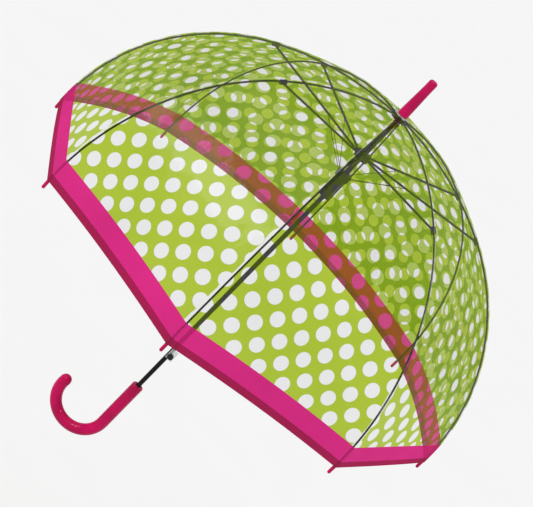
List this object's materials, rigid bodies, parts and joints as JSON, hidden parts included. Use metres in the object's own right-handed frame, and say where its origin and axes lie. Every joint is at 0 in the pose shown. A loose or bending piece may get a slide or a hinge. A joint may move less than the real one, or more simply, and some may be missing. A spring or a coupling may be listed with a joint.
{
  "type": "dome umbrella",
  "caption": "Clear dome umbrella, open: printed green film with a pink hem band, black ribs and runner, pink tip caps, ferrule and crook handle.",
  "frame": {"origin": "on the shaft's axis at the mouth of the handle, where the hand holds it", "axes": "+Z along the shaft to the ferrule; the crook opens towards -X; rib 1 points along -Y"},
  "size_m": [0.84, 0.84, 0.8684],
  "materials": {
    "canopy_film": "clear film printed green with round unprinted dots, pink band at the hem",
    "pink_plastic": "glossy magenta pink",
    "black_metal": "black painted steel",
    "black_plastic": "moulded black",
    "clear_plastic": "clear",
    "bright_wire": "bright wire"
  },
  "bodies": {
    "root": {"shaft": "black_metal", "handle": "pink_plastic", "handle_collar": "black_plastic", "ferrule": "pink_plastic", "crown_washer": "clear_plastic", "top_notch": "black_plastic", "notch_ring": "bright_wire", "canopy_panel_1": "canopy_film", "canopy_panel_2": "canopy_film", "canopy_panel_3": "canopy_film", "canopy_panel_4": "canopy_film", "canopy_panel_5": "canopy_film", "canopy_panel_6": "canopy_film", "canopy_panel_7": "canopy_film", "canopy_panel_8": "canopy_film"},
    "runner": {"runner": "black_plastic", "runner_pins": "bright_wire"},
    "stretcher_hub": {"stretcher_hub": "black_plastic", "hub_pins": "bright_wire"},
    "push_button": {"push_button": "black_plastic"},
    "closure_strap": {"closure_strap": "clear_plastic", "strap_snap": "black_plastic"},
    "rib_1": {"rib_1": "black_metal", "tip_cap_1": "pink_plastic"},
    "stretcher_1": {"stretcher_1": "black_metal"},
    "link_1": {"link_1": "black_metal"},
    "rib_2": {"rib_2": "black_metal", "tip_cap_2": "pink_plastic"},
    "stretcher_2": {"stretcher_2": "black_metal"},
    "link_2": {"link_2": "black_metal"},
    "rib_3": {"rib_3": "black_metal", "tip_cap_3": "pink_plastic"},
    "stretcher_3": {"stretcher_3": "black_metal"},
    "link_3": {"link_3": "black_metal"},
    "rib_4": {"rib_4": "black_metal", "tip_cap_4": "pink_plastic"},
    "stretcher_4": {"stretcher_4": "black_metal"},
    "link_4": {"link_4": "black_metal"},
    "rib_5": {"rib_5": "black_metal", "tip_cap_5": "pink_plastic"},
    "stretcher_5": {"stretcher_5": "black_metal"},
    "link_5": {"link_5": "black_metal"},
    "rib_6": {"rib_6": "black_metal", "tip_cap_6": "pink_plastic"},
    "stretcher_6": {"stretcher_6": "black_metal"},
    "link_6": {"link_6": "black_metal"},
    "rib_7": {"rib_7": "black_metal", "tip_cap_7": "pink_plastic"},
    "stretcher_7": {"stretcher_7": "black_metal"},
    "link_7": {"link_7": "black_metal"},
    "rib_8": {"rib_8": "black_metal", "tip_cap_8": "pink_plastic"},
    "stretcher_8": {"stretcher_8": "black_metal"},
    "link_8": {"link_8": "black_metal"}
  },
  "joints": [
    {"name": "runner_slide", "type": "slide", "parent": "root", "child": "runner", "axis": [0, 0, -1], "range_m": [0, 0.2581]},
    {"name": "hub_slide", "type": "slide", "parent": "root", "child": "stretcher_hub", "axis": [0, 0, -1], "range_m": [-0.0005, 0.2836]},
    {"name": "button_press", "type": "slide", "parent": "root", "child": "push_button", "axis": [0, -1, 0], "range_m": [0, 0.0018], "stiffness_N_per_m": 400, "springref_m": -0.002},
    {"name": "strap_swing", "type": "hinge", "parent": "rib_1", "child": "closure_strap", "pos_m": [0.016, -0.4141, 0.2613], "axis": [1, 0, 0], "range_deg": [-70, 5]},
    {"name": "rib_1_hinge", "type": "hinge", "parent": "root", "child": "rib_1", "pos_m": [0, -0.009, 0.63532], "axis": [1, 0, 0], "range_deg": [-0.5, 44.5]},
    {"name": "stretcher_1_hinge", "type": "hinge", "parent": "stretcher_hub", "child": "stretcher_1", "pos_m": [0.0035, -0.009, 0.551], "axis": [-1, 0, 0], "range_deg": [-0.5, 50.77]},
    {"name": "link_1_hinge", "type": "hinge", "parent": "runner", "child": "link_1", "pos_m": [0.0054, -0.008, 0.506], "axis": [-1, 0, 0], "range_deg": [-0.5, 28.98]},
    {"name": "rib_2_hinge", "type": "hinge", "parent": "root", "child": "rib_2", "pos_m": [0.00636, -0.00636, 0.63532], "axis": [0.7071, 0.7071, 0], "range_deg": [-0.5, 44.5]},
    {"name": "stretcher_2_hinge", "type": "hinge", "parent": "stretcher_hub", "child": "stretcher_2", "pos_m": [0.00884, -0.00389, 0.551], "axis": [-0.7071, -0.7071, 0], "range_deg": [-0.5, 50.77]},
    {"name": "link_2_hinge", "type": "hinge", "parent": "runner", "child": "link_2", "pos_m": [0.00948, -0.00184, 0.506], "axis": [-0.7071, -0.7071, 0], "range_deg": [-0.5, 28.98]},
    {"name": "rib_3_hinge", "type": "hinge", "parent": "root", "child": "rib_3", "pos_m": [0.009, 0, 0.63532], "axis": [0, 1, 0], "range_deg": [-0.5, 44.5]},
    {"name": "stretcher_3_hinge", "type": "hinge", "parent": "stretcher_hub", "child": "stretcher_3", "pos_m": [0.009, 0.0035, 0.551], "axis": [0, -1, 0], "range_deg": [-0.5, 50.77]},
    {"name": "link_3_hinge", "type": "hinge", "parent": "runner", "child": "link_3", "pos_m": [0.008, 0.0054, 0.506], "axis": [0, -1, 0], "range_deg": [-0.5, 28.98]},
    {"name": "rib_4_hinge", "type": "hinge", "parent": "root", "child": "rib_4", "pos_m": [0.00636, 0.00636, 0.63532], "axis": [-0.7071, 0.7071, 0], "range_deg": [-0.5, 44.5]},
    {"name": "stretcher_4_hinge", "type": "hinge", "parent": "stretcher_hub", "child": "stretcher_4", "pos_m": [0.00389, 0.00884, 0.551], "axis": [0.7071, -0.7071, 0], "range_deg": [-0.5, 50.77]},
    {"name": "link_4_hinge", "type": "hinge", "parent": "runner", "child": "link_4", "pos_m": [0.00184, 0.00948, 0.506], "axis": [0.7071, -0.7071, 0], "range_deg": [-0.5, 28.98]},
    {"name": "rib_5_hinge", "type": "hinge", "parent": "root", "child": "rib_5", "pos_m": [0, 0.009, 0.63532], "axis": [-1, 0, 0], "range_deg": [-0.5, 44.5]},
    {"name": "stretcher_5_hinge", "type": "hinge", "parent": "stretcher_hub", "child": "stretcher_5", "pos_m": [-0.0035, 0.009, 0.551], "axis": [1, 0, 0], "range_deg": [-0.5, 50.77]},
    {"name": "link_5_hinge", "type": "hinge", "parent": "runner", "child": "link_5", "pos_m": [-0.0054, 0.008, 0.506], "axis": [1, 0, 0], "range_deg": [-0.5, 28.98]},
    {"name": "rib_6_hinge", "type": "hinge", "parent": "root", "child": "rib_6", "pos_m": [-0.00636, 0.00636, 0.63532], "axis": [-0.7071, -0.7071, 0], "range_deg": [-0.5, 44.5]},
    {"name": "stretcher_6_hinge", "type": "hinge", "parent": "stretcher_hub", "child": "stretcher_6", "pos_m": [-0.00884, 0.00389, 0.551], "axis": [0.7071, 0.7071, 0], "range_deg": [-0.5, 50.77]},
    {"name": "link_6_hinge", "type": "hinge", "parent": "runner", "child": "link_6", "pos_m": [-0.00948, 0.00184, 0.506], "axis": [0.7071, 0.7071, 0], "range_deg": [-0.5, 28.98]},
    {"name": "rib_7_hinge", "type": "hinge", "parent": "root", "child": "rib_7", "pos_m": [-0.009, 0, 0.63532], "axis": [0, -1, 0], "range_deg": [-0.5, 44.5]},
    {"name": "stretcher_7_hinge", "type": "hinge", "parent": "stretcher_hub", "child": "stretcher_7", "pos_m": [-0.009, -0.0035, 0.551], "axis": [0, 1, 0], "range_deg": [-0.5, 50.77]},
    {"name": "link_7_hinge", "type": "hinge", "parent": "runner", "child": "link_7", "pos_m": [-0.008, -0.0054, 0.506], "axis": [0, 1, 0], "range_deg": [-0.5, 28.98]},
    {"name": "rib_8_hinge", "type": "hinge", "parent": "root", "child": "rib_8", "pos_m": [-0.00636, -0.00636, 0.63532], "axis": [0.7071, -0.7071, 0], "range_deg": [-0.5, 44.5]},
    {"name": "stretcher_8_hinge", "type": "hinge", "parent": "stretcher_hub", "child": "stretcher_8", "pos_m": [-0.00389, -0.00884, 0.551], "axis": [-0.7071, 0.7071, 0], "range_deg": [-0.5, 50.77]},
    {"name": "link_8_hinge", "type": "hinge", "parent": "runner", "child": "link_8", "pos_m": [-0.00184, -0.00948, 0.506], "axis": [-0.7071, 0.7071, 0], "range_deg": [-0.5, 28.98]}
  ],
  "couplings": [
    {"joint": "hub_slide", "follows": "runner_slide", "ratio": 1.097},
    {"joint": "rib_1_hinge", "follows": "runner_slide", "rad_per_m": 2.9754},
    {"joint": "stretcher_1_hinge", "follows": "runner_slide", "rad_per_m": 3.3994},
    {"joint": "link_1_hinge", "follows": "runner_slide", "rad_per_m": 1.926},
    {"joint": "rib_2_hinge", "follows": "runner_slide", "rad_per_m": 2.9754},
    {"joint": "stretcher_2_hinge", "follows": "runner_slide", "rad_per_m": 3.3994},
    {"joint": "link_2_hinge", "follows": "runner_slide", "rad_per_m": 1.926},
    {"joint": "rib_3_hinge", "follows": "runner_slide", "rad_per_m": 2.9754},
    {"joint": "stretcher_3_hinge", "follows": "runner_slide", "rad_per_m": 3.3994},
    {"joint": "link_3_hinge", "follows": "runner_slide", "rad_per_m": 1.926},
    {"joint": "rib_4_hinge", "follows": "runner_slide", "rad_per_m": 2.9754},
    {"joint": "stretcher_4_hinge", "follows": "runner_slide", "rad_per_m": 3.3994},
    {"joint": "link_4_hinge", "follows": "runner_slide", "rad_per_m": 1.926},
    {"joint": "rib_5_hinge", "follows": "runner_slide", "rad_per_m": 2.9754},
    {"joint": "stretcher_5_hinge", "follows": "runner_slide", "rad_per_m": 3.3994},
    {"joint": "link_5_hinge", "follows": "runner_slide", "rad_per_m": 1.926},
    {"joint": "rib_6_hinge", "follows": "runner_slide", "rad_per_m": 2.9754},
    {"joint": "stretcher_6_hinge", "follows": "runner_slide", "rad_per_m": 3.3994},
    {"joint": "link_6_hinge", "follows": "runner_slide", "rad_per_m": 1.926},
    {"joint": "rib_7_hinge", "follows": "runner_slide", "rad_per_m": 2.9754},
    {"joint": "stretcher_7_hinge", "follows": "runner_slide", "rad_per_m": 3.3994},
    {"joint": "link_7_hinge", "follows": "runner_slide", "rad_per_m": 1.926},
    {"joint": "rib_8_hinge", "follows": "runner_slide", "rad_per_m": 2.9754},
    {"joint": "stretcher_8_hinge", "follows": "runner_slide", "rad_per_m": 3.3994},
    {"joint": "link_8_hinge", "follows": "runner_slide", "rad_per_m": 1.926}
  ]
}
